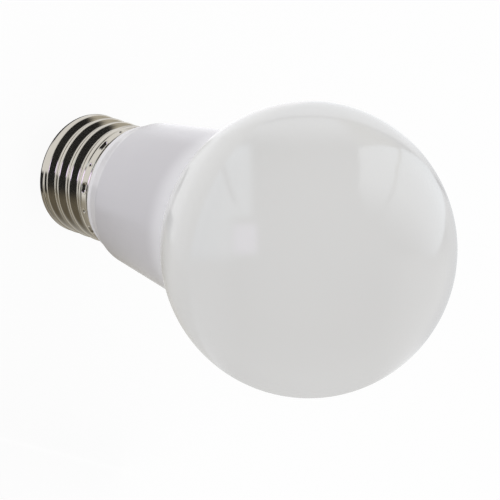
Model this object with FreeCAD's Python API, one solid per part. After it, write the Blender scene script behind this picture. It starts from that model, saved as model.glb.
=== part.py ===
import FreeCAD, Part
import math
import os

# LED lamp: a milky globe on a white moulded housing, with a rolled screw cap.
# Millimetres. The origin is the tip of the centre contact, and +Z is the lamp's axis
# towards the globe. Heights are measured up from that tip.

Vector = FreeCAD.Vector
ORIGIN = Vector(0, 0, 0)
UP = Vector(0, 0, 1)

# Outside form
globe_diameter = 60.0
mouth_radius = 19.02
cone_height = 24.9
cap_height = 24.5
rim_step = 0.9
rim_flare = 1.6
rim_land = 1.1
rim_bevel = 3.3
edge_round = 0.4

# Screw shell
thread_pitch = 25.4 / 7
crest_radius = 13.1
thread_depth = 1.1
shell_wall = 0.3
collar_height = 3.6
thread_bottom = 9.0
first_crest = 0.9
run_out = 0.9
thread_row = 0.25
thread_columns = 48
shell_end_round = 2.6
shell_end_turn = 75.0
bead_groove = 0.12
bead_groove_width = 0.5

# Crimp punches in the collar
crimp_count = 8
crimp_drop = 2.1
crimp_angle = -119.7
punch_radius = 0.7
punch_length = 1.1
punch_depth = 0.5
dot_radius = 0.55
dot_depth = 0.3

# Insulator and centre contact
contact_radius = 4.8
contact_thickness = 1.0
contact_round = 0.5
contact_pin_radius = 1.3
contact_pin_length = 6.0
contact_recess = 0.4
insulator_foot_radius = 5.8
insulator_clearance = 0.08
neck_gap = 0.2
lead_notch = 0.4

# Housing
housing_wall = 1.5
mouth_wall = 1.57
neck_wall = 1.2
neck_clearance = 0.15
crimp_groove_depth = 0.65
crimp_groove_width = 2.0
neck_step = 0.4
cavity_floor = 2.0
rail_reach = 1.6
rail_wall = 1.0
rail_height = 14.0

# Diffuser
diffuser_wall = 1.2
skirt_length = 3.9
skirt_clearance = 0.05
snap_bead = 0.3
snap_bead_drop = 2.2

# Heat sink and LED board
sink_wall = 0.8
sink_lift = 3.5
sink_clearance = 0.1
sink_corner = 1.2
board_gap = 0.5
pad_thickness = 0.2
pad_margin = 1.0
led_board_thickness = 1.2
led_count = 12
led_inset = 4.3
led_length = 3.5
led_width = 2.8
led_height = 0.7
phosphor_radius = 1.05
phosphor_depth = 0.4

# Board screws
screw_gap = 0.6
screw_radius = 1.2
screw_length = 5.0
screw_head_radius = 2.2
screw_head_height = 1.3
screw_slot = 0.5
screw_slot_depth = 0.8
screw_clearance = 0.1

# Driver board
driver_thickness = 1.6
tongue_gap = 0.95
shoulder_gap = 2.4
driver_lift = 1.6
driver_top_gap = 2.0
driver_clearance = 0.1
lead_clearance = 0.1

# Pins and socket between the two boards
pin_radius = 0.4
pin_spacing = 2.54
pin_seat = 4.0
socket_length = 6.4
socket_width = 3.2
socket_height = 2.4

# Electrolytic capacitors
input_can_room = 1.45
input_can_length = 12.0
input_can_lift = 1.2
output_can_radius = 2.9
output_can_length = 9.0
output_can_drop = 1.2
can_lead_radius = 0.3
can_lead_reach = 1.6
can_board_gap = 0.1
can_groove = 0.25
can_edge = 0.4

# Power inductor
core_lift = 1.0
core_width = 10.2
core_height = 10.2
core_depth = 4.8
core_back = 1.5
core_leg = 1.4
core_centre = 2.6
bobbin_wall = 0.5
bobbin_flange = 0.6
bobbin_reach = 2.3
coil_clearance = 0.1

# Filter inductor
drum_radius = 2.1
drum_length = 7.0
drum_lead_radius = 0.3

# Fusible resistor
resistor_radius = 1.5
resistor_length = 8.0
resistor_waist = 0.25
resistor_lead = 0.3
sleeve_wall = 0.3
sleeve_overhang = 1.0
lead_bend = 1.0
resistor_across = 2.6
resistor_lift = 4.5

# Shell wire
wire_radius = 0.35
wire_fold_length = 5.0
wire_inset = 1.2
wire_lift = 5.0

# Surface-mounted parts
part_gap = 0.5
chip_stand = 0.1
chip_lead_thickness = 0.2
chip_lead_foot = 0.4
chip_lead_reach = 1.0
bridge_length = 4.7
bridge_width = 3.9
bridge_height = 1.6
bridge_lead_pitch = 2.5
bridge_lead_width = 0.6
bridge_lift = 11.5
ic_length = 4.9
ic_width = 3.9
ic_height = 1.5
ic_lead_pitch = 1.27
ic_lead_width = 0.4
ic_across = -5.4
ic_lift = 5.0
diode_length = 2.6
diode_width = 4.3
diode_height = 2.2
diode_lead_width = 1.4
diode_across = 5.5
diode_lift = 9.0
chip_resistor_length = 1.6
chip_resistor_width = 0.8
chip_resistor_height = 0.45
chip_resistor_cap = 0.3
chip_resistor_inset = 0.05
chip_resistor_pitch = 1.6
chip_resistor_across = 4.2
chip_resistor_lift = 3.4

# Heights and radii that follow from the sizes above
globe_radius = globe_diameter / 2
rim_radius = crest_radius + rim_step
waist_radius = rim_radius + rim_flare
waist_height = cap_height + rim_land + rim_bevel
cone_slope = (mouth_radius - waist_radius) / cone_height
seam_height = waist_height + cone_height
seam_drop = math.sqrt(globe_radius ** 2 - mouth_radius ** 2)
globe_centre = seam_height + seam_drop
thread_top = cap_height - collar_height
thread_arc = (thread_pitch ** 2 / 4 + thread_depth ** 2) / (4 * thread_depth)
crimp_height = cap_height - crimp_drop
root_inside = crest_radius - thread_depth - shell_wall
collar_inside = crest_radius - shell_wall
neck_radius = root_inside - neck_clearance
neck_bore = neck_radius - neck_wall
neck_bottom = thread_bottom + neck_gap
mouth_bore = mouth_radius - mouth_wall
skirt_radius = mouth_bore - skirt_clearance
skirt_end = seam_height - skirt_length
sink_top = skirt_end - board_gap
pad_top = sink_top + pad_thickness
board_top = pad_top + led_board_thickness
led_board_radius = skirt_radius - diffuser_wall - board_gap
led_ring_radius = led_board_radius - led_inset
screw_circle = led_ring_radius - led_width / 2 - screw_head_radius - screw_gap
floor_top = waist_height + cavity_floor
sink_bottom = floor_top + sink_lift
driver_bottom = neck_bottom + driver_lift
driver_step = floor_top + driver_clearance
driver_top = sink_top - sink_wall - driver_top_gap
half_tongue = neck_bore - tongue_gap
step_radius = waist_radius + cone_slope * (driver_step - waist_height)
half_shoulder = step_radius - housing_wall - shoulder_gap
rail_inside = half_tongue - rail_reach
board_face = driver_thickness / 2
input_can_radius = (neck_bore - board_face - can_board_gap - input_can_room) / 2
wire_side = board_face + rail_wall + wire_radius + neck_gap + lead_clearance


def cone_radius(height):
    """Outer radius of the housing's cone at a height."""
    return waist_radius + cone_slope * (height - waist_height)


def place(radius, degrees, height):
    """Point on a circle about the axis."""
    angle = math.radians(degrees)
    return Vector(radius * math.cos(angle), radius * math.sin(angle), height)


def wire_outside():
    """Distance from the YZ plane at which the shell wire lies in the neck's groove."""
    return math.sqrt(neck_radius ** 2 - (wire_side + wire_radius) ** 2) - wire_radius


def segment(start, end):
    """Straight edge of an outline between two (radius, height) points."""
    return Part.LineSegment(Vector(start[0], 0, start[1]), Vector(end[0], 0, end[1])).toShape()


def arc_about(centre, radius, first, last):
    """Arc of an outline about a (radius, height) centre, between two angles in degrees."""
    points = []
    for degrees in (first, (first + last) / 2, last):
        angle = math.radians(degrees)
        points.append(Vector(centre[0] + radius * math.cos(angle), 0, centre[1] + radius * math.sin(angle)))
    return Part.Arc(*points).toShape()


def path_through(points):
    """Straight edges of an outline through a list of (radius, height) points."""
    return [segment(start, end) for start, end in zip(points, points[1:])]


def turned(edges):
    """Solid turned about the axis from the edges of a closed outline."""
    outline = Part.Wire(Part.__sortEdges__(edges))
    return Part.Face(outline).revolve(ORIGIN, UP, 360)


def turned_polygon(points):
    """Solid turned about the axis from a closed outline of straight sides."""
    return turned(path_through(points + points[:1]))


def block(size_x, size_y, size_z, centre):
    """Rectangular block about its centre."""
    corner = centre - Vector(size_x / 2, size_y / 2, size_z / 2)
    return Part.makeBox(size_x, size_y, size_z, corner)


def round_bar(radius, start, end):
    """Straight round bar between two points."""
    return Part.makeCylinder(radius, start.distanceToPoint(end), start, end - start)


def fused(shapes):
    """One solid from shapes that overlap or touch."""
    return shapes[0].multiFuse(shapes[1:]).removeSplitter()


def circles_at(solid, radius, height):
    """Circular edges of a turned solid with a radius and a height."""
    found = []
    for edge in solid.Edges:
        if isinstance(edge.Curve, Part.Circle):
            same_radius = abs(edge.Curve.Radius - radius) < 1e-4
            if same_radius and abs(edge.Curve.Center.z - height) < 1e-4:
                found.append(edge)
    return found


def bent_bar(points, bend, radius):
    """Round bar along straight runs joined by tangent arcs."""
    edges = []
    start = points[0]
    for before, corner, after in zip(points, points[1:], points[2:]):
        arriving = (corner - before).normalize()
        leaving = (after - corner).normalize()
        turn = arriving.getAngle(leaving)
        setback = bend * math.tan(turn / 2)
        first = corner - arriving * setback
        last = corner + leaving * setback
        inward = (leaving - arriving).normalize()
        middle = corner + inward * (bend * (1 / math.cos(turn / 2) - 1))
        edges.append(Part.LineSegment(start, first).toShape())
        edges.append(Part.Arc(first, middle, last).toShape())
        start = last
    edges.append(Part.LineSegment(start, points[-1]).toShape())
    section = Part.Wire(Part.makeCircle(radius, points[0], points[1] - points[0]))
    return Part.Wire(edges).makePipeShell([section], True, True)


# Diffuser

def make_diffuser():
    """Hollow globe with a shoulder on the housing's mouth and a skirt inside it."""
    inner_radius = globe_radius - diffuser_wall
    skirt_inside = skirt_radius - diffuser_wall
    seam_angle = -math.degrees(math.asin(seam_drop / globe_radius))
    inner_angle = -math.degrees(math.acos(skirt_inside / inner_radius))
    inner_seam = globe_centre - math.sqrt(inner_radius ** 2 - skirt_inside ** 2)
    bead = seam_height - snap_bead_drop
    edges = [arc_about((0, globe_centre), globe_radius, 90, seam_angle)]
    edges += path_through([
        (mouth_radius, seam_height),
        (skirt_radius, seam_height),
        (skirt_radius, bead + snap_bead),
        (skirt_radius + snap_bead, bead),
        (skirt_radius, bead - snap_bead),
        (skirt_radius, skirt_end),
        (skirt_inside, skirt_end),
        (skirt_inside, inner_seam),
    ])
    edges.append(arc_about((0, globe_centre), inner_radius, inner_angle, 90))
    edges.append(segment((0, globe_centre + inner_radius), (0, globe_centre + globe_radius)))
    return turned(edges)


# Housing

def make_housing():
    """White moulding: cone, bevelled rim and the neck that carries the screw shell."""
    bead = seam_height - snap_bead_drop
    bead_room = snap_bead + skirt_clearance
    collar_seat = collar_inside - skirt_clearance
    groove = collar_seat - crimp_groove_depth
    half_groove = crimp_groove_width / 2
    floor_radius = cone_radius(floor_top) - housing_wall
    shell = turned_polygon([
        (neck_bore, neck_bottom),
        (neck_radius, neck_bottom),
        (neck_radius, thread_top),
        (collar_seat, thread_top + neck_step),
        (collar_seat, crimp_height - half_groove),
        (groove, crimp_height - half_groove),
        (groove, crimp_height + half_groove),
        (collar_seat, crimp_height + half_groove),
        (collar_seat, cap_height),
        (rim_radius, cap_height),
        (rim_radius, cap_height + rim_land),
        (waist_radius, waist_height),
        (mouth_radius, seam_height),
        (mouth_bore, seam_height),
        (mouth_bore, bead + bead_room),
        (mouth_bore + bead_room, bead),
        (mouth_bore, bead - bead_room),
        (mouth_bore, sink_top),
        (cone_radius(sink_top) - housing_wall, sink_top),
        (floor_radius, floor_top),
        (neck_bore, waist_height),
    ])
    shell = shell.makeFillet(edge_round, circles_at(shell, rim_radius, cap_height))
    shell = shell.makeFillet(2 * edge_round, circles_at(shell, rim_radius, cap_height + rim_land))
    shell = shell.makeFillet(2 * edge_round, circles_at(shell, waist_radius, waist_height))
    slot = driver_thickness + 2 * driver_clearance
    rails = []
    for side in (-1, 1):
        for face in (-1, 1):
            across = face * (slot + rail_wall) / 2
            outer = neck_bore + neck_wall / 2
            middle = side * (rail_inside + outer) / 2
            centre = Vector(middle, across, driver_bottom + rail_height / 2)
            rails.append(block(outer - rail_inside, rail_wall, rail_height, centre))
    shell = fused([shell] + rails)
    return shell.cut(wire_channel())


def wire_channel():
    """Notch under the neck and groove up its side for the folded shell wire."""
    room = wire_radius + lead_clearance
    outside = wire_outside()
    low = neck_bottom - room
    notch = block(2 * (neck_radius - neck_bore) + 4 * room, 2 * room, 3 * room,
                  Vector(-outside, wire_side, low + 1.5 * room))
    groove_length = wire_fold_length + 3 * room
    groove_centre = Vector(-outside - room, wire_side, low + groove_length / 2)
    return notch.fuse(block(4 * room, 2 * room, groove_length, groove_centre))


# Screw shell

def crest_height(degrees):
    """Height of a crest of the right-hand thread at an angle about the axis."""
    return thread_bottom + first_crest + thread_pitch * (degrees + 90) / 360


def depth_below_crest(offset):
    """Depth of the rolled thread, two equal arcs, at an axial distance from a crest."""
    along = abs((offset + thread_pitch / 2) % thread_pitch - thread_pitch / 2)
    if along <= thread_pitch / 4:
        return thread_arc - math.sqrt(thread_arc ** 2 - along ** 2)
    from_root = thread_pitch / 2 - along
    return thread_depth - thread_arc + math.sqrt(thread_arc ** 2 - from_root ** 2)


def thread_fade(height):
    """Share of the full thread at a height: none at either end of the threaded wall."""
    nearest_end = min(thread_top - height, height - thread_bottom)
    share = min(1, max(0, nearest_end / run_out))
    return share * share * (3 - 2 * share)


def thread_radius(degrees, height):
    """Outer radius of the threaded wall, which runs out to the crest at both ends."""
    return crest_radius - thread_fade(height) * depth_below_crest(height - crest_height(degrees))


def thread_skin(inset):
    """Closed face of the threaded wall, an even distance inside its outer surface."""
    rows = round((thread_top - thread_bottom) / thread_row)
    probe = thread_row / 25
    grid = []
    for row in range(rows + 1):
        height = thread_bottom + (thread_top - thread_bottom) * row / rows
        ring = []
        for column in range(thread_columns + 1):
            degrees = 360 * (column % thread_columns) / thread_columns
            radius = thread_radius(degrees, height)
            rise = thread_radius(degrees, height + probe) - thread_radius(degrees, height - probe)
            slope = thread_fade(height) * rise / (2 * probe)
            stretch = math.sqrt(1 + slope ** 2)
            ring.append(place(radius - inset / stretch, degrees, height + inset * slope / stretch))
        grid.append(ring)
    skin = Part.BSplineSurface()
    skin.interpolate(grid)
    return skin.toShape()


def rounded_bar(radius, length, centre, tangent):
    """Bar with round ends about its centre."""
    start = centre - tangent * (length / 2)
    end = centre + tangent * (length / 2)
    ends = [Part.makeSphere(radius, start), Part.makeSphere(radius, end)]
    return round_bar(radius, start, end).multiFuse(ends)


def punch(degrees, radius, length, depth, growth):
    """Tool of one crimp punch in the collar, grown by a wall for its inner side."""
    centre = place(crest_radius + radius - depth, degrees, crimp_height)
    if length == 0:
        return Part.makeSphere(radius + growth, centre)
    tangent = place(1, degrees + 90, 0)
    return rounded_bar(radius + growth, length, centre, tangent)


def crimp_tools(growth):
    """Long punches and small dots that take turns round the collar."""
    tools = []
    for index in range(crimp_count):
        degrees = crimp_angle + 360 * index / crimp_count
        tools.append(punch(degrees, punch_radius, punch_length, punch_depth, growth))
        between = degrees + 180 / crimp_count
        tools.append(punch(between, dot_radius, 0, dot_depth, growth))
    return tools


def make_collar():
    """Plain collar of the shell with its groove line and crimp punches."""
    line = thread_top + bead_groove_width
    half_line = bead_groove_width / 2
    wall = turned_polygon([
        (collar_inside, thread_top),
        (crest_radius, thread_top),
        (crest_radius, line - half_line),
        (crest_radius - bead_groove, line),
        (crest_radius, line + half_line),
        (crest_radius, cap_height),
        (collar_inside, cap_height),
    ])
    middle = crest_radius - shell_wall / 2
    inside = Part.makeCylinder(middle, collar_height, Vector(0, 0, thread_top))
    bumps = [tool.common(inside) for tool in crimp_tools(shell_wall)]
    return wall.multiFuse(bumps).cut(crimp_tools(0))


def make_shell_end():
    """Rounded lower end of the shell, turned in under the insulator's shoulder."""
    centre = (crest_radius - shell_end_round, thread_bottom)
    inner_round = shell_end_round - shell_wall
    turn = math.radians(shell_end_turn)
    lip_outer = (centre[0] + shell_end_round * math.cos(turn), centre[1] - shell_end_round * math.sin(turn))
    lip_inner = (centre[0] + inner_round * math.cos(turn), centre[1] - inner_round * math.sin(turn))
    return turned([
        arc_about(centre, shell_end_round, 0, -shell_end_turn),
        segment(lip_outer, lip_inner),
        arc_about(centre, inner_round, -shell_end_turn, 0),
        segment((collar_inside, thread_bottom), (crest_radius, thread_bottom)),
    ])


def end_wire(skin, height):
    """Closed end of a thread skin at a height."""
    for edge in skin.Edges:
        box = edge.BoundBox
        if box.ZLength < 1e-4 and abs(box.ZMax - height) < 1e-4:
            return Part.Wire(edge)


def make_threaded_wall():
    """Even wall between an outer and an inner thread skin, closed by a flat ring at each end."""
    outer = thread_skin(0)
    inner = thread_skin(shell_wall)
    rings = []
    for height in (thread_bottom, thread_top):
        hole = end_wire(inner, height)
        hole.reverse()
        rings.append(Part.Face([end_wire(outer, height), hole]))
    wall = Part.makeCompound([outer, inner] + rings)
    wall.sewShape(0.001)
    return Part.Solid(wall.Shells[0])


def make_screw_shell():
    """Thin rolled shell: plain crimped collar, right-hand thread and turned-in end."""
    pieces = [make_collar(), make_shell_end()]
    shell = make_threaded_wall().multiFuse(pieces, 0.01)
    return shell.removeSplitter().Solids[0]


# Insulator and centre contact

def make_cap_insulator():
    """Dark insulator that fills the shell's end and carries the centre contact."""
    centre = (crest_radius - shell_end_round, thread_bottom)
    fit_round = shell_end_round - shell_wall - insulator_clearance
    turn = math.radians(shell_end_turn)
    fit_end = (centre[0] + fit_round * math.cos(turn), centre[1] - fit_round * math.sin(turn))
    lip_bottom = thread_bottom - shell_end_round * math.sin(turn)
    foot = contact_thickness - contact_recess
    edges = [
        segment((0, thread_bottom), (centre[0] + fit_round, thread_bottom)),
        arc_about(centre, fit_round, 0, -shell_end_turn),
    ]
    edges += path_through([
        fit_end,
        (fit_end[0] - skirt_clearance, lip_bottom),
        (insulator_foot_radius, foot),
        (0, foot),
        (0, thread_bottom),
    ])
    body = turned(edges)
    recess = Part.makeCylinder(contact_radius + skirt_clearance, contact_recess, Vector(0, 0, foot))
    hole = Part.makeCylinder(contact_pin_radius + skirt_clearance, thread_bottom)
    notch = Part.makeCylinder(lead_notch, thread_bottom, Vector(0, contact_pin_radius + lead_notch, 0))
    return body.cut([recess, hole, notch])


def make_centre_contact():
    """Flat round contact with a rounded edge and the pin that holds it."""
    disc = Part.makeCylinder(contact_radius, contact_thickness)
    disc = disc.makeFillet(contact_round, circles_at(disc, contact_radius, 0))
    pin = Part.makeCylinder(contact_pin_radius, contact_thickness + contact_pin_length)
    return fused([disc, pin])


# Heat sink, pad and LED board

def board_openings(bottom, height, screw_hole):
    """Tools for the two screw holes and the pin opening through a round plate."""
    low = Vector(0, 0, bottom)
    tools = []
    for side in (-1, 1):
        tools.append(Part.makeCylinder(screw_hole, height, low + Vector(0, side * screw_circle, 0)))
    opening = block(pin_spacing + 4 * pin_radius, 4 * pin_radius, height, low + Vector(0, 0, height / 2))
    return tools + [opening]


def make_heat_sink():
    """Drawn aluminium cup, open downwards, that lines the cone and carries the board."""
    top_radius = cone_radius(sink_top) - housing_wall - sink_clearance
    bottom_radius = cone_radius(sink_bottom) - housing_wall - sink_clearance
    cup = turned_polygon([
        (0, sink_top),
        (top_radius, sink_top),
        (bottom_radius, sink_bottom),
        (bottom_radius - sink_wall, sink_bottom),
        (top_radius - sink_wall, sink_top - sink_wall),
        (0, sink_top - sink_wall),
    ])
    cup = cup.makeFillet(sink_corner, circles_at(cup, top_radius, sink_top))
    inner = circles_at(cup, top_radius - sink_wall, sink_top - sink_wall)
    cup = cup.makeFillet(sink_corner - sink_wall / 2, inner)
    tools = board_openings(sink_top - 2 * sink_wall, 3 * sink_wall, screw_radius + screw_clearance)
    return cup.cut(tools)


def make_thermal_pad():
    """Thin pad between the cup and the LED board."""
    low = Vector(0, 0, sink_top)
    pad = Part.makeCylinder(led_board_radius - pad_margin, pad_thickness, low)
    return pad.cut(board_openings(sink_top, pad_thickness, screw_radius + screw_clearance))


def make_led_board():
    """Round metal-core board."""
    low = Vector(0, 0, pad_top)
    board = Part.makeCylinder(led_board_radius, led_board_thickness, low)
    return board.cut(board_openings(pad_top, led_board_thickness, screw_radius + screw_clearance))


def led_place(index):
    """Angle of one LED on its ring, clear of the screws."""
    return 360 * (index + 0.5) / led_count


def make_led_packages():
    """Ring of LED bodies with a round well each."""
    bodies = []
    for index in range(led_count):
        middle = Vector(led_ring_radius, 0, board_top + led_height / 2)
        body = block(led_width, led_length, led_height, middle)
        body = body.makeChamfer(led_height / 4, [edge for edge in body.Edges
                                                 if edge.BoundBox.ZMin > board_top + led_height / 2])
        well_floor = Vector(led_ring_radius, 0, board_top + led_height - phosphor_depth)
        body = body.cut(Part.makeCylinder(phosphor_radius, phosphor_depth, well_floor))
        body.rotate(ORIGIN, UP, led_place(index))
        bodies.append(body)
    return Part.makeCompound(bodies)


def make_led_phosphors():
    """Yellow fills in the wells of the LED bodies."""
    fills = []
    for index in range(led_count):
        floor = place(led_ring_radius, led_place(index), board_top + led_height - phosphor_depth)
        fills.append(Part.makeCylinder(phosphor_radius, phosphor_depth, floor))
    return Part.makeCompound(fills)


def make_board_screws():
    """Pan-head screws with a cross slot."""
    screws = []
    for side in (-1, 1):
        seat = Vector(0, side * screw_circle, board_top)
        head = Part.makeCylinder(screw_head_radius, screw_head_height, seat)
        top_edge = circles_at(head, screw_head_radius, board_top + screw_head_height)
        head = head.makeFillet(screw_head_height / 2, top_edge)
        shank = Part.makeCylinder(screw_radius, screw_length, seat - Vector(0, 0, screw_length))
        tip = circles_at(shank, screw_radius, board_top - screw_length)
        shank = shank.makeChamfer(screw_radius / 3, tip)
        middle = seat + Vector(0, 0, screw_head_height - screw_slot_depth / 2)
        arm = 1.3 * screw_head_radius
        slots = [
            block(arm, screw_slot, screw_slot_depth, middle),
            block(screw_slot, arm, screw_slot_depth, middle),
        ]
        screws.append(fused([head, shank]).cut(slots))
    return Part.makeCompound(screws)


# Pins between the boards

def make_pin_socket():
    """Moulded socket on the LED board with two holes for the pins."""
    centre = Vector(0, 0, board_top + socket_height / 2)
    body = block(socket_length, socket_width, socket_height, centre)
    top_edges = [edge for edge in body.Edges if edge.BoundBox.ZMin > centre.z]
    body = body.makeChamfer(socket_height / 8, top_edges)
    holes = []
    for side in (-1, 1):
        low = Vector(side * pin_spacing / 2, 0, board_top)
        holes.append(Part.makeCylinder(pin_radius + lead_clearance, socket_height, low))
    return body.cut(holes)


def make_board_pins():
    """Two square-shouldered pins that stand on the driver board's upper edge."""
    pins = []
    for side in (-1, 1):
        low = Vector(side * pin_spacing / 2, 0, driver_top)
        pin = round_bar(pin_radius, low, Vector(low.x, 0, board_top + socket_height))
        root = round_bar(pin_radius, low - Vector(0, 0, pin_seat), low)
        pins.append(fused([pin, root]))
    return Part.makeCompound(pins)


# Driver board

def driver_outline():
    """Flat outline of the driver board: a narrow tongue in the neck, wide above it."""
    corners = [
        (-half_tongue, driver_bottom),
        (half_tongue, driver_bottom),
        (half_tongue, driver_step),
        (half_shoulder, driver_step),
        (half_shoulder, driver_top),
        (-half_shoulder, driver_top),
        (-half_shoulder, driver_step),
        (-half_tongue, driver_step),
    ]
    points = [Vector(x, -board_face, z) for x, z in corners]
    return Part.Face(Part.makePolygon(points + points[:1]))


def lead_hole(x, z, radius):
    """Tool for a lead's hole through the driver board."""
    start = Vector(x, -driver_thickness, z)
    return round_bar(radius + lead_clearance, start, Vector(x, driver_thickness, z))


# Places of the parts on the driver board, as (across, height)
input_can_place = (0, driver_bottom + input_can_lift + input_can_length / 2)
inductor_place = (0, driver_step + core_lift + core_height / 2)
output_can_level = driver_top - output_can_drop - can_lead_reach - output_can_length / 2
output_can_place = (core_width / 2 + part_gap + output_can_radius, output_can_level)
drum_place = (-core_width / 2 - 2 * part_gap - drum_radius, inductor_place[1])
bridge_reach = bridge_width / 2 + chip_lead_reach
bridge_place = (bridge_reach + part_gap - rail_inside, driver_bottom + bridge_lift)
ic_place = (ic_across, driver_step + ic_lift)
diode_place = (diode_across, driver_step + diode_lift)
resistor_place = (resistor_across, driver_bottom + resistor_lift)
shell_wire_place = (wire_inset - rail_inside, driver_bottom + wire_lift)


def can_leads(place_on_board, radius, length):
    """Places of a can's two leads where they enter the board."""
    across, height = place_on_board
    level = height + length / 2 + can_lead_reach
    spread = 0.4 * radius
    return [(across - spread, level), (across + spread, level)]


def drum_leads():
    """Places of the filter inductor's leads in the board."""
    across, height = drum_place
    reach = drum_length / 2 + can_lead_reach
    return [(across, height - reach), (across, height + reach)]


def bobbin_pins():
    """Places of the power inductor's four pins in the board."""
    across, height = inductor_place
    half = core_height / 2 - core_back - bobbin_flange / 2 - coil_clearance
    reach = core_centre / 2 + bobbin_wall
    return [(across + i * reach, height + j * half) for i in (-1, 1) for j in (-1, 1)]


def make_driver_board():
    """Upright board with a hole for each lead and pin."""
    board = driver_outline().extrude(Vector(0, driver_thickness, 0))
    holes = []
    for x, z in can_leads(input_can_place, input_can_radius, input_can_length):
        holes.append(lead_hole(x, z, can_lead_radius))
    for x, z in can_leads(output_can_place, output_can_radius, output_can_length):
        holes.append(lead_hole(x, z, can_lead_radius))
    for x, z in drum_leads():
        holes.append(lead_hole(x, z, drum_lead_radius))
    for x, z in bobbin_pins():
        holes.append(lead_hole(x, z, drum_lead_radius))
    upper_lead = resistor_place[1] + resistor_length + 3 * lead_bend
    holes.append(lead_hole(resistor_place[0], upper_lead, resistor_lead))
    holes.append(lead_hole(shell_wire_place[0], shell_wire_place[1], wire_radius))
    for side in (-1, 1):
        low = Vector(side * pin_spacing / 2, 0, driver_top - pin_seat)
        holes.append(Part.makeCylinder(pin_radius, pin_seat, low))
    return board.cut(holes)


# Leaded parts on the front of the driver board

def make_can(place_on_board, radius, length):
    """Electrolytic capacitor lying on the board, with bent leads through it."""
    across, height = place_on_board
    away = -(board_face + can_board_gap + radius)
    low = height - length / 2
    top = height + length / 2
    groove = top - 2 * can_groove - can_edge
    outline = [
        (0, low),
        (radius - can_edge, low),
        (radius, low + can_edge),
        (radius, groove - can_groove),
        (radius - can_groove, groove),
        (radius, groove + can_groove),
        (radius, top - can_edge / 2),
        (radius - can_edge / 2, top),
        (radius - can_edge, top - can_edge / 2),
        (0, top - can_edge / 2),
    ]
    body = turned_polygon(outline)
    body.translate(Vector(across, away, 0))
    parts = [body]
    for x, z in can_leads(place_on_board, radius, length):
        points = [Vector(x, away, top - can_edge), Vector(x, away, z), Vector(x, 2 * board_face, z)]
        parts.append(bent_bar(points, lead_bend, can_lead_radius))
    return fused(parts)


def make_filter_inductor():
    """Small lacquered drum inductor along the board, with a lead at each end."""
    across, height = drum_place
    away = -(board_face + can_board_gap + drum_radius)
    half = drum_length / 2
    waist = drum_radius - 2 * can_groove
    body = turned_polygon([
        (0, height - half),
        (drum_radius - can_edge, height - half),
        (drum_radius, height - half + can_edge),
        (drum_radius, height - half / 2),
        (waist, height - half / 3),
        (waist, height + half / 3),
        (drum_radius, height + half / 2),
        (drum_radius, height + half - can_edge),
        (drum_radius - can_edge, height + half),
        (0, height + half),
    ])
    body.translate(Vector(across, away, 0))
    parts = [body]
    for x, z in drum_leads():
        start = Vector(x, away, height)
        points = [start, Vector(x, away, z), Vector(x, 2 * board_face, z)]
        parts.append(bent_bar(points, lead_bend, drum_lead_radius))
    return fused(parts)


# Power inductor

bobbin_half_depth = core_depth / 2 + bobbin_wall + bobbin_reach
inductor_away = -(board_face + can_board_gap + bobbin_half_depth)


def make_inductor_core():
    """Two ferrite E halves that meet at mid height."""
    across, height = inductor_place
    centre = Vector(across, inductor_away, height)
    window = (core_width - core_centre) / 2 - core_leg
    window_height = core_height - 2 * core_back
    body = block(core_width, core_depth, core_height, centre)
    for side in (-1, 1):
        shift = Vector(side * (core_centre + window) / 2, 0, 0)
        body = body.cut(block(window, 2 * core_depth, window_height, centre + shift))
    halves = []
    for side in (-1, 1):
        part_of_space = block(2 * core_width, 2 * core_depth, core_height / 2,
                              centre + Vector(0, 0, side * core_height / 4))
        halves.append(body.common(part_of_space))
    return Part.makeCompound(halves)


def make_inductor_bobbin():
    """Moulded spool round the core's centre leg, with pins into the board."""
    across, height = inductor_place
    centre = Vector(across, inductor_away, height)
    length = core_height - 2 * core_back - 2 * coil_clearance
    tube_x = core_centre + 2 * coil_clearance + 2 * bobbin_wall
    tube_y = core_depth + 2 * coil_clearance + 2 * bobbin_wall
    flange_x = core_width - 2 * core_leg - 2 * coil_clearance
    parts = [block(tube_x, tube_y, length, centre)]
    for side in (-1, 1):
        shift = Vector(0, 0, side * (length - bobbin_flange) / 2)
        parts.append(block(flange_x, 2 * bobbin_half_depth, bobbin_flange, centre + shift))
    for x, z in bobbin_pins():
        start = Vector(x, inductor_away + bobbin_half_depth - bobbin_flange, z)
        parts.append(round_bar(drum_lead_radius - coil_clearance, start, Vector(x, 2 * board_face, z)))
    spool = fused(parts)
    bore_x = core_centre + 2 * coil_clearance
    bore_y = core_depth + 2 * coil_clearance
    return spool.cut(block(bore_x, bore_y, 2 * length, centre))


def make_inductor_winding():
    """Taped copper winding on the spool."""
    across, height = inductor_place
    centre = Vector(across, inductor_away, height)
    length = core_height - 2 * core_back - 4 * coil_clearance - 2 * bobbin_flange
    inner_x = core_centre + 2 * coil_clearance + 2 * bobbin_wall
    inner_y = core_depth + 2 * coil_clearance + 2 * bobbin_wall
    outer_x = core_width - 2 * core_leg - 4 * coil_clearance
    outer_y = 2 * bobbin_half_depth - 4 * coil_clearance
    coil = block(outer_x, outer_y, length, centre)
    upright = [edge for edge in coil.Edges if edge.BoundBox.ZLength > length / 2]
    coil = coil.makeFillet((outer_x - inner_x) / 3, upright)
    return coil.cut(block(inner_x, inner_y, 2 * length, centre))


# Surface-mounted parts on the back of the driver board

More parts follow.
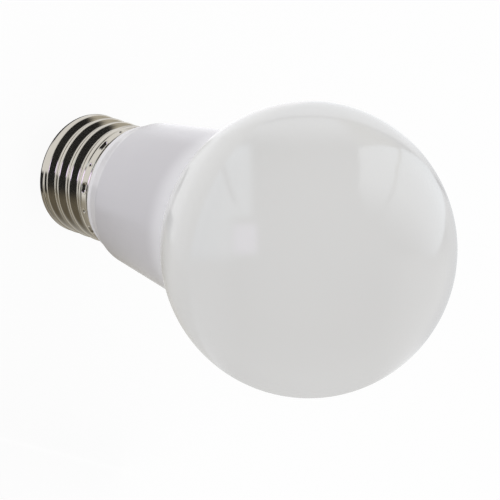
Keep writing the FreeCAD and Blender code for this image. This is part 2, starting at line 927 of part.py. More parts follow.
def gull_lead(width, rise):
    """Bent lead of a chip, in its own frame: +X away from the body, +Y off the board."""
    bend = chip_lead_reach - chip_lead_foot
    outline = [
        (-chip_lead_foot, rise),
        (bend - chip_lead_thickness, rise),
        (bend - chip_lead_thickness, 0),
        (chip_lead_reach, 0),
        (chip_lead_reach, chip_lead_thickness),
        (bend, chip_lead_thickness),
        (bend, rise + chip_lead_thickness),
        (-chip_lead_foot, rise + chip_lead_thickness),
    ]
    points = [Vector(x, y, -width / 2) for x, y in outline]
    face = Part.Face(Part.makePolygon(points + points[:1]))
    return face.extrude(Vector(0, 0, width))


def make_chip(place_on_board, length, width, height, lead_rows, lead_pitch, lead_width):
    """Moulded chip with bent leads at both sides, standing on the board's back."""
    across, level = place_on_board
    centre = Vector(across, board_face + chip_stand + height / 2, level)
    body = block(width, height, length, centre)
    outer = [edge for edge in body.Edges if edge.BoundBox.YMin > centre.y]
    body = body.makeChamfer(height / 6, outer)
    parts = [body]
    for side in (-1, 1):
        for index in range(lead_rows):
            lead = gull_lead(lead_width, height / 2)
            if side < 0:
                lead.rotate(ORIGIN, Vector(0, 1, 0), 180)
            rise = lead_pitch * (index - (lead_rows - 1) / 2)
            lead.translate(Vector(across + side * width / 2, board_face, level + rise))
            parts.append(lead)
    return fused(parts)


def make_chip_resistors():
    """Small ceramic resistors with end caps."""
    length = chip_resistor_length
    width = chip_resistor_width
    height = chip_resistor_height
    inset = 2 * chip_resistor_inset
    shapes = []
    for column in range(3):
        for row in range(2):
            x = chip_resistor_across + column * chip_resistor_pitch
            z = driver_step + chip_resistor_lift + row * 1.5 * length
            centre = Vector(x, board_face + height / 2, z)
            body = block(width - inset, height - inset, length, centre)
            ends = []
            for side in (-1, 1):
                shift = Vector(0, 0, side * (length - chip_resistor_cap) / 2)
                ends.append(block(width, height, chip_resistor_cap, centre + shift))
            shapes.append(fused([body] + ends))
    return Part.makeCompound(shapes)


# Fusible resistor and wires

def make_fusible_resistor():
    """Resistor in the contact's lead, its lower lead beside the contact's pin."""
    across, low = resistor_place
    away = board_face + sleeve_wall + can_board_gap + resistor_radius
    top = low + resistor_length
    upper_lead = top + 3 * lead_bend
    body = turned_polygon([
        (0, low),
        (resistor_radius, low),
        (resistor_radius, low + resistor_length / 5),
        (resistor_radius - resistor_waist, low + resistor_length / 4),
        (resistor_radius - resistor_waist, top - resistor_length / 4),
        (resistor_radius, top - resistor_length / 5),
        (resistor_radius, top),
        (0, top),
    ])
    rounded = circles_at(body, resistor_radius, low) + circles_at(body, resistor_radius, top)
    body = body.makeFillet(resistor_waist, rounded)
    body.translate(Vector(across, away, 0))
    upper = [
        Vector(across, away, top - resistor_waist),
        Vector(across, away, upper_lead),
        Vector(across, -2 * board_face, upper_lead),
    ]
    notch = contact_pin_radius + lead_notch
    bend_level = (low + thread_bottom) / 2
    lower = [
        Vector(across, away, low + resistor_waist),
        Vector(across, away, bend_level + lead_bend),
        Vector(0, notch, bend_level - lead_bend),
        Vector(0, notch, contact_thickness),
    ]
    leads = [bent_bar(upper, lead_bend, resistor_lead), bent_bar(lower, lead_bend, resistor_lead)]
    return fused([body] + leads)


def make_resistor_sleeve():
    """Shrunk sleeve over the resistor, drawn in over its ends."""
    across, low = resistor_place
    away = board_face + sleeve_wall + can_board_gap + resistor_radius
    gap = can_board_gap / 2
    top = low + resistor_length
    inner = resistor_radius + gap
    outer = inner + sleeve_wall - gap
    sleeve = turned_polygon([
        (inner, low - sleeve_overhang),
        (outer, low - sleeve_overhang),
        (outer, top + sleeve_overhang),
        (inner, top + sleeve_overhang),
    ])
    sleeve.translate(Vector(across, away, 0))
    return sleeve


def make_shell_wire():
    """Wire from the driver board, under the neck and up between neck and shell."""
    across, level = shell_wire_place
    under = neck_bottom + wire_radius
    points = [
        Vector(across, -board_face, level),
        Vector(across, wire_side, level),
        Vector(across, wire_side, under),
        Vector(-wire_outside(), wire_side, under),
        Vector(-wire_outside(), wire_side, under + wire_fold_length),
    ]
    return bent_bar(points, 2 * wire_radius, wire_radius)


def make_bridge_rectifier():
    """Rectifier with two leads at each side."""
    leads = (2, bridge_lead_pitch, bridge_lead_width)
    return make_chip(bridge_place, bridge_length, bridge_width, bridge_height, *leads)


def make_driver_ic():
    """Control chip with four leads at each side."""
    leads = (4, ic_lead_pitch, ic_lead_width)
    return make_chip(ic_place, ic_length, ic_width, ic_height, *leads)


def make_output_diode():
    """Diode with one broad lead at each end."""
    leads = (1, 0, diode_lead_width)
    return make_chip(diode_place, diode_length, diode_width, diode_height, *leads)


def make_input_capacitor():
    """Larger can, in the neck."""
    return make_can(input_can_place, input_can_radius, input_can_length)


def make_output_capacitor():
    """Smaller can, beside the power inductor."""
    return make_can(output_can_place, output_can_radius, output_can_length)


# The pieces by name

PIECES = {
    "diffuser": make_diffuser,
    "housing": make_housing,
    "screw_shell": make_screw_shell,
    "cap_insulator": make_cap_insulator,
    "centre_contact": make_centre_contact,
    "heat_sink": make_heat_sink,
    "thermal_pad": make_thermal_pad,
    "led_board": make_led_board,
    "led_packages": make_led_packages,
    "led_phosphors": make_led_phosphors,
    "board_screws": make_board_screws,
    "pin_socket": make_pin_socket,
    "board_pins": make_board_pins,
    "driver_board": make_driver_board,
    "input_capacitor": make_input_capacitor,
    "output_capacitor": make_output_capacitor,
    "filter_inductor": make_filter_inductor,
    "inductor_core": make_inductor_core,
    "inductor_bobbin": make_inductor_bobbin,
    "inductor_winding": make_inductor_winding,
    "bridge_rectifier": make_bridge_rectifier,
    "driver_ic": make_driver_ic,
    "output_diode": make_output_diode,
    "chip_resistors": make_chip_resistors,
    "fusible_resistor": make_fusible_resistor,
    "resistor_sleeve": make_resistor_sleeve,
    "shell_wire": make_shell_wire,
}


def main():
    os.makedirs("parts", exist_ok=True)
    for name, make in PIECES.items():
        shape = make()
        shape.exportStep("parts/" + name + ".step")
        print(name, "solids", len(shape.Solids), "volume", round(shape.Volume, 2), "valid", shape.isValid())


main()
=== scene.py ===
# %% [markdown]
# # A household LED lamp
# The lamp is a milky globe on a white moulded housing, with a thin nickel-plated screw
# shell rolled from sheet. Its solids come packed from CAD as a fixed frame: every new
# piece is drawn in the same metres and round the same upright axis, so nothing has to be
# fitted by eye. The origin is the tip of the centre contact and +Z points to the globe.

# %% The fixed frame
import bpy
import bmesh
import math
from mathutils import Matrix, Vector


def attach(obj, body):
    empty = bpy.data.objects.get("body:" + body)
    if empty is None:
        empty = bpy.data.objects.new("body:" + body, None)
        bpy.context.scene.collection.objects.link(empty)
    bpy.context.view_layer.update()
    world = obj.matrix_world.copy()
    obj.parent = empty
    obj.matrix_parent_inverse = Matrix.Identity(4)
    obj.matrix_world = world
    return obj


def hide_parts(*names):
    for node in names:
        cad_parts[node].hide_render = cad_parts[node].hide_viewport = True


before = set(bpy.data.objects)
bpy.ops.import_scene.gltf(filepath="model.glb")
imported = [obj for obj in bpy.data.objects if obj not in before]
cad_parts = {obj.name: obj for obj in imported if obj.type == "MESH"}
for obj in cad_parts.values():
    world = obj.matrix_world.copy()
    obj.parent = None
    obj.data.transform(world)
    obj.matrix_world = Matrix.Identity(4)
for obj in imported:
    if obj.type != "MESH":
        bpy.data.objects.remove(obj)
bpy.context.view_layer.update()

# %% [markdown]
# ## The camera
# The photograph was taken from above and in front of the globe, with the camera turned
# well round its own axis, and from far enough for a long lens. A camera can be placed by
# angles, but here its three axes were measured, so they are written as the columns of a
# matrix: right, up and back. The numbers hold for a square picture.

# %% A long lens, rolled
RIGHT = Vector((-0.33483, 0.64416, 0.68771))
TOP = Vector((-0.94227, -0.22890, -0.24437))
BACK = RIGHT.cross(TOP)
CAMERA_PLACE = Vector((0.00404, -0.44967, 0.48296))
bpy.ops.object.camera_add()
camera = bpy.context.object
camera.matrix_world = Matrix.Translation(CAMERA_PLACE) @ Matrix((RIGHT, TOP, BACK)).transposed().to_4x4()
camera.data.lens = 216
camera.data.sensor_width = 36
bpy.context.scene.camera = camera
bpy.context.scene.view_settings.view_transform = "Standard"
print("camera back axis:", [round(v, 3) for v in BACK])

# %% [markdown]
# ## Node networks as Python
# A finish is a network of nodes. Placing nodes one by one makes the sums in it hard to
# read, so a small class stands for the number that leaves a node: adding or multiplying
# two of them adds the Math node. Any other node comes from one method, which takes its
# type and settings first and the values or links of its inputs after them.

# %% A number that leaves a node
class Level:
    def __init__(self, network, socket):
        self.network = network
        self.socket = socket

    def math(self, operation, *others):
        values = dict(enumerate((self,) + others))
        return self.network.node("ShaderNodeMath", {"operation": operation}, values)

    def __add__(self, other):
        return self.math("ADD", other)

    def __sub__(self, other):
        return self.math("SUBTRACT", other)

    def __mul__(self, other):
        return self.math("MULTIPLY", other)

    def __rsub__(self, other):
        return (self * -1).math("ADD", other)

    __radd__ = __add__
    __rmul__ = __mul__


# %% A network of nodes
class Network:
    def __init__(self, owner):
        owner.use_nodes = True
        self.tree = owner.node_tree
        self.tree.nodes.clear()

    def node(self, kind, settings, inputs, output=0):
        """Adds a node with its settings and inputs, and returns one of its outputs."""
        made = self.tree.nodes.new(kind)
        for key, value in settings.items():
            setattr(made, key, value)
        for key, value in inputs.items():
            if isinstance(value, Level):
                self.tree.links.new(value.socket, made.inputs[key])
            else:
                made.inputs[key].default_value = value
        return Level(self, made.outputs[output]) if made.outputs else None

    def between(self, value, low, high):
        """0 below low, 1 above high, and smooth in between. With low above high it runs the other way."""
        inputs = {0: value, 1: low, 2: high}
        return self.node("ShaderNodeMapRange", {"interpolation_type": "SMOOTHSTEP"}, inputs)

    def window(self, value, low, high, soft):
        """1 from low to high, with soft edges, and 0 outside."""
        past_high = self.between(value, high - soft, high + soft)
        return self.between(value, low - soft, low + soft) * (1 - past_high)

    def mix(self, share, first, second):
        """A colour between two colours."""
        return self.node("ShaderNodeMix", {"data_type": "RGBA"}, {0: share, 6: first, 7: second}, 2)

    def laid_over(self, ground, layers):
        """A ground colour with layers of (share, colour) laid over it in turn."""
        for share, light in layers:
            ground = self.mix(share, ground, light)
        return ground

    def ray(self, kind):
        """1 for one kind of ray, such as what the camera sees."""
        return self.node("ShaderNodeLightPath", {}, {}, kind)


print("node helpers ready")

# %% [markdown]
# ## The room
# Studio pictures of lamps are taken in a white tent: soft light from everywhere, a little
# more from above, and a dark gap where the camera looks in. The metal needs that gap,
# because nickel has no colour of its own and shows only what stands round it. A tent can
# be built from cards, but the reflections here are read from the globe, which is a ball
# mirror of the whole room. So the world paints what glossy rays see, in the plane of
# that mirror picture, while matt surfaces get one even level from it.

# %% The place of a direction in the mirror picture
room = bpy.data.worlds.new("tent")
bpy.context.scene.world = room
tent = Network(room)
away = tent.node("ShaderNodeTexCoord", {}, {})
halfway = tent.node("ShaderNodeVectorMath", {"operation": "ADD"}, {0: away, 1: BACK})
halfway = tent.node("ShaderNodeVectorMath", {"operation": "NORMALIZE"}, {0: halfway})
across = tent.node("ShaderNodeVectorMath", {"operation": "DOT_PRODUCT"}, {0: halfway, 1: RIGHT}, "Value")
upward = tent.node("ShaderNodeVectorMath", {"operation": "DOT_PRODUCT"}, {0: halfway, 1: TOP}, "Value")
sideways = across.math("ABSOLUTE")
rim = (across * across + upward * upward).math("SQRT")
print("tent nodes:", len(tent.tree.nodes))

# %% [markdown]
# The picture is a disc of radius 1 round the globe's middle. A soft box on the left is a
# rectangle in it with soft edges. Two of them stand side by side, parted by a narrow dark
# gap that bends as it runs down, and a small violet one stands below. The white cloth
# behind the lamp is what lies near the rim. Its lower half gets less light, its right
# edge lies in half shade, and a thin seam of the cloth shows as a line along its upper
# half. The middle stays dark, brown towards the bottom, and ends at a beige corner on the
# upper right.

# %% Shapes in the mirror picture
SEAM_RISE = 0.885
GAP_TOP = 0.7
GAP_ACROSS = -0.5916
GAP_SLOPE = 0.0955
GAP_BEND = 0.442
CORNER_SLOPE = 0.74


def soft_box(left, right, low, high, soft):
    """A rectangle of the mirror picture with soft edges."""
    return tent.window(across, left, right, soft) * tent.window(upward, low, high, soft)


above = tent.between(upward, -0.2, 0.25)
below = 1 - above
bow = across * across + upward * upward * (1 / SEAM_RISE ** 2)
cloth_seam = tent.between(bow, 0.975, 1.0) * (1 - tent.between(bow, 1.0, 1.025))
drop = GAP_TOP - upward
from_gap = (across - GAP_ACROSS - drop * GAP_SLOPE - drop * drop * GAP_BEND).math("ABSOLUTE")
gap_ends = tent.between(upward, 0.24, 0.34) * (1 - tent.between(upward, 0.66, 0.72))
box_gap = tent.between(from_gap, 0.024, 0.004) * gap_ends
corner = tent.between(across + upward * CORNER_SLOPE, 0.78, 0.93) * tent.between(upward, 0.32, 0.42)
print("shapes drawn with nodes:", len(tent.tree.nodes))

# %% Cloth and soft boxes over the dark room
def grey(value):
    """A neutral colour."""
    return (value, value, value, 1)


DARK = grey(0.02)
brown_front = tent.between(upward, -0.22, -0.42)
lower_cloth = tent.between(rim, 0.55, 0.92) * below
side_cloth = tent.between(sideways, 0.42, 0.75) * below * 0.7
top_cloth = tent.between(upward, 0.64, 0.84) * above
rim_cloth = tent.between(rim, 0.88, 0.97) * above
right_edge = tent.between(rim, 0.9, 0.97) * tent.between(across, 0.65, 0.85)
seam_line = cloth_seam * above * (1 - tent.between(sideways, 0.88, 0.95))
mirror = tent.laid_over(DARK, [
    (brown_front, (0.14, 0.122, 0.09, 1)),
    (lower_cloth, (0.66, 0.66, 0.65, 1)),
    (side_cloth, (1.1, 1.11, 1.13, 1)),
    (top_cloth, (1.1, 1.13, 1.18, 1)),
    (soft_box(-0.89, -0.50, -0.06, 0.70, 0.06), (1.14, 1.28, 1.46, 1)),
    (soft_box(-0.58, -0.38, 0.22, 0.70, 0.03), (1.25, 1.4, 1.55, 1)),
    (soft_box(-0.50, -0.35, -0.03, 0.17, 0.03), (1.6, 1.4, 2.0, 1)),
    (box_gap, (0.15, 0.15, 0.17, 1)),
    (rim_cloth, (1.0, 1.02, 1.05, 1)),
    (right_edge, (0.72, 0.73, 0.75, 1)),
    (seam_line, (0.25, 0.25, 0.27, 1)),
    (corner * (1 - tent.between(rim, 0.87, 0.93)), (0.55, 0.52, 0.45, 1)),
])
print("tent nodes:", len(tent.tree.nodes))

# %% [markdown]
# A matt surface gathers light from half the room at once, so for it the whole tent can be
# one even level. That keeps its colour about as it is written, and the render clean. The
# camera itself sees plain white behind the lamp, as does anything seen through clear
# material.

# %% One level for matt surfaces, white for the camera
MATT_LEVEL = 0.96
level = tent.mix(tent.ray("Is Glossy Ray"), grey(MATT_LEVEL), mirror)
in_sight = tent.ray("Is Camera Ray").math("MAXIMUM", tent.ray("Is Transmission Ray"))
level = tent.mix(in_sight, level, grey(1))
sky = tent.node("ShaderNodeBackground", {}, {0: level, 1: 1.0})
tent.node("ShaderNodeOutputWorld", {}, {0: sky})
print("matt level:", MATT_LEVEL)

# %% [markdown]
# ## The floor
# The floor is a pale sheet. More light on it would also fall on the lamp, so instead the
# camera sees it mostly as a white glow, with a small share of its own shade: it stays
# white and still keeps the lamp's shadow. It holds no light back itself, as if the white
# of the tent went on under it, and the metal looks through it to a card.

# %% A white floor that keeps the shadow
SHEET_WHITE = 0.86
GLOW_SHARE = 0.94
bpy.ops.object.select_all(action="DESELECT")
bpy.ops.mesh.primitive_plane_add(size=8, location=(0, 0, 0))
floor = bpy.context.object
floor.name = "floor"
floor.visible_glossy = False
floor.visible_shadow = False
sheet_white = bpy.data.materials.new("floor_sheet")
sheet = Network(sheet_white)
shade = sheet.node("ShaderNodeBsdfDiffuse", {}, {0: grey(SHEET_WHITE)})
glow = sheet.node("ShaderNodeEmission", {}, {0: grey(1), 1: 1.0})
floor_share = sheet.ray("Is Camera Ray").math("MAXIMUM", sheet.ray("Is Transmission Ray")) * GLOW_SHARE
floor_look = sheet.node("ShaderNodeMixShader", {}, {0: floor_share, 1: shade, 2: glow})
sheet.node("ShaderNodeOutputMaterial", {}, {0: floor_look})
floor.data.materials.append(sheet_white)
print("floor:", floor.dimensions[:2])

# %% [markdown]
# ## Cards close to the lamp
# The metal stands so close to the floor that what it mirrors there is no longer far away,
# and the tent alone can't show it. So a round card lies just under the sheet, where only
# glossy rays, which pass the sheet, can find it. A card could be one colour, but this one
# is painted in sectors round the lamp, because the metal's bands differ all the way
# round: pale in front and greyer further out, brightest behind the left side for the
# housing's upper edge, brown on the right, and black in a narrow gap and under the lamp,
# where the black reaches further to the left to edge the screw shell's rounded end. The
# black under the lamp is painted shade, the floor in the lamp's own shade, and the grey
# close by on the left is painted half shade.

# %% The round card
MM = 0.001
CARD_RADIUS = 80 * MM
CARD_PLACE = (0, 0, -0.2 * MM)


def only_in_mirrors(thing):
    """Hides a card from everything but glossy rays."""
    thing.visible_camera = False
    thing.visible_diffuse = False
    thing.visible_transmission = False
    thing.visible_shadow = False


bpy.ops.object.select_all(action="DESELECT")
bpy.ops.mesh.primitive_circle_add(vertices=96, radius=CARD_RADIUS, fill_type="NGON", location=CARD_PLACE)
card = bpy.context.object
card.name = "round_card"
only_in_mirrors(card)
print("card across mm:", round(card.dimensions.x / MM))

# %% Sectors and rings of the card
card_paint = bpy.data.materials.new("card_paint")
paint = Network(card_paint)
spot = paint.node("ShaderNodeTexCoord", {}, {}, "Object")
east = paint.node("ShaderNodeSeparateXYZ", {}, {0: spot}, "X")
north = paint.node("ShaderNodeSeparateXYZ", {}, {0: spot}, "Y")
from_axis = (east * east + north * north).math("SQRT")
to_left = (east * -1).math("ARCTAN2", north * -1)
to_right = to_left * -1


def sector(turn, first, last, soft):
    """A sector of the card, between two angles in degrees from the front."""
    return paint.window(turn, math.radians(first), math.radians(last), math.radians(soft))


def within(inner, outer):
    """1 nearer to the axis than inner and 0 beyond outer, in millimetres."""
    return 1 - paint.between(from_axis, inner * MM, outer * MM)


def beyond(inner, outer):
    """0 nearer to the axis than inner and 1 beyond outer, in millimetres."""
    return paint.between(from_axis, inner * MM, outer * MM)


print("card nodes:", len(paint.tree.nodes))

# %% The card's colours
close_by = within(29, 34)
further_out = 1 - close_by
right_side = sector(to_right, 42, 140, 8)
# Painted shade: the black under the lamp and the grey sector close by on the left stand for the floor's
# shade, as the metal mirrors it.
card_colour = paint.laid_over(grey(0.93), [
    (beyond(34, 42), (0.74, 0.74, 0.73, 1)),
    (sector(to_left, 98, 140, 8) * close_by, (0.62, 0.61, 0.59, 1)),
    (sector(to_left, 84, 178, 10) * further_out, (1.03, 1.03, 1.05, 1)),
    (sector(to_left, 117, 145, 7) * further_out, (1.14, 1.14, 1.16, 1)),
    (right_side * (1 - beyond(50, 75) * 0.7), (0.56, 0.54, 0.49, 1)),
    (right_side * within(23, 46), (0.28, 0.255, 0.205, 1)),
    (sector(to_right, 19, 48, 3) * within(21, 32), DARK),
    (sector(to_left, 22, 100, 8) * within(14.5, 17), DARK),
    (within(11.5, 13.5), DARK),
])
card_glow = paint.node("ShaderNodeEmission", {}, {0: card_colour, 1: 1.0})
paint.node("ShaderNodeOutputMaterial", {}, {0: card_glow})
card.data.materials.append(card_paint)
print("card nodes:", len(paint.tree.nodes))

# %% [markdown]
# The soft boxes on the left of the globe's picture are far away, but the pair on its
# right leans over the lamp so closely that the metal, lower down, hardly sees it. That
# needs real cards. Each is a flat circle with its vertices set on the corners of its box,
# in a plane that leans towards the globe. Its light is a little weaker at its foot, the
# lower end, and fades into the dark towards its upper end.

# %% Two leaning soft boxes
BALL_HEIGHT = 77 * MM
BOX_DISTANCE = 60 * MM
BOX_TURN = -125
BOX_TILT = 50
FOOT_SHARE = 0.72


def leaning_box(name, corners, light):
    """A glowing card through (across, up) corners in millimetres, in a plane that leans over the globe."""
    lean = Matrix.Rotation(math.radians(BOX_TURN), 4, "Z") @ Matrix.Rotation(math.radians(BOX_TILT), 4, "X")
    bpy.ops.object.select_all(action="DESELECT")
    bpy.ops.mesh.primitive_circle_add(vertices=len(corners), radius=0.01, fill_type="NGON")
    box = bpy.context.object
    box.name = name
    for vertex, (to_side, up) in zip(box.data.vertices, corners):
        vertex.co = (to_side * MM, up * MM, 0)
    outwards = lean @ Matrix.Translation((0, 0, BOX_DISTANCE))
    box.matrix_world = Matrix.Translation((0, 0, BALL_HEIGHT)) @ outwards
    only_in_mirrors(box)
    screen = bpy.data.materials.new(name)
    silk = Network(screen)
    spot = silk.node("ShaderNodeTexCoord", {}, {}, "Object")
    along = silk.node("ShaderNodeSeparateXYZ", {}, {0: spot}, "Y")
    foot_light = tuple(FOOT_SHARE * part for part in light)
    colour = silk.mix(silk.between(along, -65 * MM, -15 * MM), foot_light, light)
    colour = silk.mix(silk.between(along, 0, 40 * MM), colour, DARK)
    glow = silk.node("ShaderNodeEmission", {}, {0: colour, 1: 1.0})
    silk.node("ShaderNodeOutputMaterial", {}, {0: glow})
    box.data.materials.append(screen)
    middle = box.matrix_world @ Vector((0, 0, 0))
    print(name, "middle mm:", [round(v / MM) for v in middle])


leaning_box("tall_box", [(51, -29), (31, -35), (11, -42), (22, -14), (26, 9), (31, 30), (43, 37), (54, 16)],
            (1.48, 1.56, 1.64, 1))
leaning_box("wide_box", [(7, -46), (-30, -68), (-37, -56), (-26, -20), (-25, -5), (-24, 9), (-9, 28),
                         (5, 44), (13, 52), (23, 43), (29, 28), (24, 9), (20, -14)], (1.38, 1.46, 1.54, 1))

# %% [markdown]
# ## Flag and lamps
# A white thing in a white tent looks flat, and what models it is light that is taken
# away. A grey flag, unseen by the camera and by the metal, stands on the right and takes
# a part of the even light from the housing.

# %% A flag beside the housing
FLAG_HEIGHT = 47 * MM
FLAG_LENGTH = 110 * MM
FLAG_PLACE = (62 * MM, -5 * MM, 24 * MM)
FLAG_GREY = 0.3
bpy.ops.object.select_all(action="DESELECT")
bpy.ops.mesh.primitive_plane_add(size=1, location=FLAG_PLACE, rotation=(0, math.radians(90), 0))
flag = bpy.context.object
flag.name = "grey_flag"
flag.scale = (FLAG_HEIGHT, FLAG_LENGTH, 1)
flag.visible_camera = False
flag.visible_glossy = False
flag.visible_transmission = False
flag_cloth = bpy.data.materials.new("flag_cloth")
weave = Network(flag_cloth)
weave_look = weave.node("ShaderNodeBsdfDiffuse", {}, {0: grey(FLAG_GREY)})
weave.node("ShaderNodeOutputMaterial", {}, {0: weave_look})
flag.data.materials.append(flag_cloth)
print("flag at mm:", [round(v / MM) for v in flag.location])

# %% [markdown]
# Two broad lamps model the round form a little more: one from the picture's top and a
# weaker one from its lower left. They are large and far, so their shadows are soft. They
# stay out of reflections, where the tent's soft boxes already stand for them.

# %% Two broad lamps
LAMP_AIM = Vector((0, 0, 40 * MM))


def broad_lamp(name, towards, distance, size, watts):
    """A square lamp that looks at the middle of the object from a direction."""
    place = LAMP_AIM + towards.normalized() * distance
    bpy.ops.object.light_add(type="AREA", location=place)
    lamp = bpy.context.object
    lamp.name = name
    lamp.rotation_euler = (place - LAMP_AIM).to_track_quat("Z", "Y").to_euler()
    lamp.data.size = size
    lamp.data.energy = watts
    lamp.visible_glossy = False
    lamp.visible_camera = False
    print(name, "watts:", watts)


broad_lamp("top_lamp", TOP + BACK * 0.35 + Vector((0, 0, 0.35)), 0.9, 0.7, 0.6)
broad_lamp("left_lamp", BACK * 0.48 - RIGHT * 0.75 - TOP * 0.45, 1.0, 0.8, 0.5)

# %% [markdown]
# ## Turned pieces
# Everything that shows on this lamp is round about one axis. A lathe shape could be spun
# from half an outline, but raising it ring by ring keeps the columns of vertices regular
# and lets each ring be placed by its true radius and height. A circle is added first,
# and each extrusion of it is moved up and scaled about the axis.

# %% Hand tools
def only(piece):
    """Leaves one piece selected and active."""
    bpy.ops.object.select_all(action="DESELECT")
    piece.select_set(True)
    bpy.context.view_layer.objects.active = piece


def pick(chosen):
    """In edit mode, selects the vertices whose place passes a test."""
    mesh = bmesh.from_edit_mesh(bpy.context.object.data)
    bpy.ops.mesh.select_all(action="DESELECT")
    for vertex in mesh.verts:
        vertex.select_set(chosen(vertex.co))
    mesh.select_flush(True)
    bmesh.update_edit_mesh(bpy.context.object.data)


def raise_rings(outline):
    """Extrudes the selected ring through the (radius, height) points of an outline in millimetres."""
    for (radius, height), (new_radius, new_height) in zip(outline, outline[1:]):
        rise = (0, 0, (new_height - height) * MM)
        bpy.ops.mesh.extrude_region_move(TRANSFORM_OT_translate={"value": rise})
        share = new_radius / radius
        bpy.ops.transform.resize(value=(share, share, 1), center_override=(0, 0, new_height * MM))


def give_wall(piece, thickness):
    """Gives an open skin a wall towards its inside, in millimetres."""
    wall = piece.modifiers.new("wall", "SOLIDIFY")
    wall.thickness = thickness * MM
    wall.offset = -1
    only(piece)
    bpy.ops.object.modifier_apply(modifier="wall")


def finish_mesh(name, angle):
    """Names the active piece, applies its place, smooths it up to an angle and lets it ride on the lamp."""
    piece = bpy.context.object
    piece.name = name
    piece.data.name = name
    bpy.ops.object.transform_apply(location=True, rotation=True, scale=True)
    bpy.ops.object.shade_smooth_by_angle(angle=math.radians(angle))
    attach(piece, "root")
    print(name, "faces:", len(piece.data.polygons), "mm:", [round(v / MM, 2) for v in piece.dimensions])
    return piece


print("hand tools ready")

# %% [markdown]
# An outline is a list of radius and height in millimetres. Straight runs need only their
# ends. An arc is worked out from its centre, and a corner becomes a short curve, because
# no moulded or turned edge is quite sharp and a small round is what catches the light.

# %% Rings from an outline
NEARLY = 1e-6
CORNER_STEPS = 5


def turned(outline, columns, closed):
    """Raises rings through an outline and, if it is closed, joins the last to the first."""
    radius, height = outline[0]
    bpy.ops.object.select_all(action="DESELECT")
    bpy.ops.mesh.primitive_circle_add(vertices=columns, radius=radius * MM, location=(0, 0, height * MM))
    bpy.ops.object.transform_apply(location=True)
    bpy.ops.object.mode_set(mode="EDIT")
    bpy.ops.mesh.select_mode(type="VERT")
    bpy.ops.mesh.select_all(action="SELECT")
    raise_rings(outline)
    if closed:

        def at_either_end(place):
            from_centre = math.hypot(place.x, place.y)
            for r, z in (outline[0], outline[-1]):
                if abs(place.z - z * MM) < NEARLY and abs(from_centre - r * MM) < NEARLY:
                    return True
            return False

        pick(at_either_end)
        bpy.ops.mesh.bridge_edge_loops()
        bpy.ops.mesh.select_all(action="SELECT")
        bpy.ops.mesh.normals_make_consistent(inside=False)
    bpy.ops.object.mode_set(mode="OBJECT")


def arc(centre, radius, first, last, steps):
    """Points of an arc about a (radius, height) centre, between two angles in degrees."""
    angles = [math.radians(first + (last - first) * i / steps) for i in range(steps + 1)]
    return [(centre[0] + radius * math.cos(a), centre[1] + radius * math.sin(a)) for a in angles]


def round_corner(before, corner, after, setback):
    """Corner of an outline as a short curve that starts and ends at a setback from it."""
    b, c, a = Vector(before), Vector(corner), Vector(after)
    start = c + (b - c).normalized() * setback
    end = c + (a - c).normalized() * setback
    shares = [i / CORNER_STEPS for i in range(CORNER_STEPS + 1)]
    return [tuple(start * (1 - t) ** 2 + c * 2 * t * (1 - t) + end * t * t) for t in shares]


print("outline tools ready")

# %% [markdown]
# ## The milky globe
# The real globe is blown or moulded in one piece, with a skirt and a small bead that snap
# into the housing. A ball is the honest start: its lower cap is cut off at the seam, the
# cut edge is drawn in to a shoulder and down to the skirt, and Solidify gives it the even
# wall.

# %% Globe with shoulder and skirt
SEAM = 53.8
MOUTH_RADIUS = 19.02
GLOBE_RADIUS = 30.0
GLOBE_CENTRE = SEAM + math.sqrt(GLOBE_RADIUS ** 2 - MOUTH_RADIUS ** 2)
GLOBE_WALL = 1.2
SKIRT_RADIUS = 17.4
SKIRT_END = 49.9
BEAD_HEIGHT = 51.6
BEAD = 0.3

bpy.ops.object.select_all(action="DESELECT")
bpy.ops.mesh.primitive_uv_sphere_add(segments=160, ring_count=110, radius=GLOBE_RADIUS * MM,
                                     location=(0, 0, GLOBE_CENTRE * MM))
bpy.ops.object.transform_apply(location=True)
bpy.ops.object.mode_set(mode="EDIT")
bpy.ops.mesh.select_mode(type="VERT")
bpy.ops.mesh.select_all(action="SELECT")
bpy.ops.mesh.bisect(plane_co=(0, 0, SEAM * MM), plane_no=(0, 0, 1), clear_inner=True)
pick(lambda place: abs(place.z - SEAM * MM) < NEARLY)
raise_rings([
    (MOUTH_RADIUS, SEAM), (SKIRT_RADIUS, SEAM), (SKIRT_RADIUS, BEAD_HEIGHT + BEAD),
    (SKIRT_RADIUS + BEAD, BEAD_HEIGHT), (SKIRT_RADIUS, BEAD_HEIGHT - BEAD), (SKIRT_RADIUS, SKIRT_END),
])
bpy.ops.object.mode_set(mode="OBJECT")
give_wall(bpy.context.object, GLOBE_WALL)
globe = finish_mesh("globe_shell", 35)
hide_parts("diffuser")

# %% [markdown]
# ## The white housing
# One moulding: a cone under the globe, a bevelled rim above the metal, and inside the
# metal the thin neck that carries it, with a groove that the collar is punched into. The
# outline goes once round the wall, outside and in, and its corners are rounded as a
# mould rounds them.

# %% Sizes of the housing
WAIST_RADIUS = 15.6
WAIST = 28.9
RIM_RADIUS = 14.0
LAND_TOP = 25.6
CAP_TOP = 24.5
CREST_RADIUS = 13.1
THREAD_TOP = 20.9
THREAD_BOTTOM = 9.0
CRIMP_HEIGHT = 22.4
COLLAR_SEAT = CREST_RADIUS - 0.35
CRIMP_GROOVE = 12.1
CRIMP_REACH = 1.0
NECK_RADIUS = 11.55
NECK_BORE = 10.35
NECK_END = THREAD_BOTTOM + 0.2
SOCKET_RADIUS = SKIRT_RADIUS + 0.05
SOCKET_END = SKIRT_END - 0.5
SNAP = 0.35
CUP_MOUTH_RADIUS = 16.9
CUP_FOOT_RADIUS = 14.39
CUP_FOOT = 30.9
print("housing height mm:", round(SEAM - NECK_END, 2))

